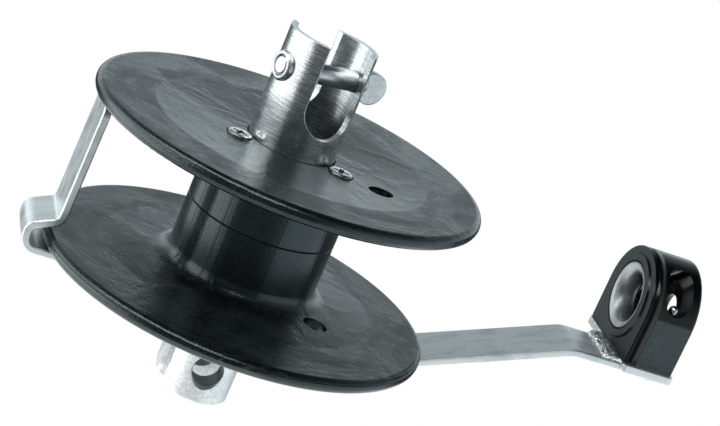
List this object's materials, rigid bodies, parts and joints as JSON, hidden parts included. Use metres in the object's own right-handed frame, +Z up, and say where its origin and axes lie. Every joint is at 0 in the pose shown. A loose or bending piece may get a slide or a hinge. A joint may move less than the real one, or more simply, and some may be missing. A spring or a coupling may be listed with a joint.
{
  "type": "roller furler",
  "caption": "Furling drum on a ball-bearing swivel with a bent guard strap, a fairlead on its arm, and clevises above and below.",
  "frame": {"origin": "centre of the lower clevis bore", "axes": "+Z up the drum's axis towards the upper fork, +X along the strap towards the fairlead, +Y along the lower clevis bore"},
  "size_m": [0.2076, 0.12, 0.1171],
  "materials": {
    "stainless_satin": "satin stainless steel",
    "polished_steel": "polished stainless steel",
    "fastener_steel": "bright stainless steel",
    "weld_metal": "rough light weld",
    "bearing_steel": "ground steel",
    "drum_plastic": "semi-gloss black moulding",
    "block_plastic": "glossy black moulding",
    "cage_nylon": "natural nylon",
    "seal_rubber": "black rubber"
  },
  "bodies": {
    "mounting": {"stem_fork": "stainless_satin", "lock_washer": "stainless_satin", "guard_strap": "stainless_satin", "weld_bead": "weld_metal", "fairlead_plate": "stainless_satin", "fairlead_cap": "block_plastic", "fairlead_body": "block_plastic", "fairlead_ferrule": "polished_steel", "fairlead_bolts": "fastener_steel", "lower_cone": "bearing_steel", "inner_spacer": "bearing_steel", "upper_cone": "bearing_steel", "spindle_washer": "fastener_steel", "spindle_nut": "fastener_steel"},
    "drum": {"drum_upper_half": "drum_plastic", "drum_lower_half": "drum_plastic", "drum_screws": "fastener_steel", "drum_nuts": "fastener_steel", "rotor_tube": "stainless_satin", "rotor_collar": "stainless_satin", "upper_clevis_pin": "polished_steel", "pin_bush": "stainless_satin", "upper_cup": "bearing_steel", "lower_cup": "bearing_steel", "outer_spacer": "bearing_steel", "bearing_circlip": "bearing_steel", "dust_seal": "seal_rubber"},
    "upper_ball_row": {"upper_balls": "bearing_steel", "upper_cage": "cage_nylon"},
    "lower_ball_row": {"lower_balls": "bearing_steel", "lower_cage": "cage_nylon"}
  },
  "joints": [
    {"name": "drum_spin", "type": "hinge", "parent": "mounting", "child": "drum", "pos_m": [0, 0, 0.04845], "axis": [0, 0, 1], "continuous": true},
    {"name": "upper_ball_spin", "type": "hinge", "parent": "mounting", "child": "upper_ball_row", "pos_m": [0, 0, 0.0554], "axis": [0, 0, 1], "continuous": true},
    {"name": "lower_ball_spin", "type": "hinge", "parent": "mounting", "child": "lower_ball_row", "pos_m": [0, 0, 0.0305], "axis": [0, 0, 1], "continuous": true}
  ],
  "couplings": [
    {"joint": "upper_ball_spin", "follows": "drum_spin", "ratio": 0.57545},
    {"joint": "lower_ball_spin", "follows": "drum_spin", "ratio": 0.57545}
  ]
}
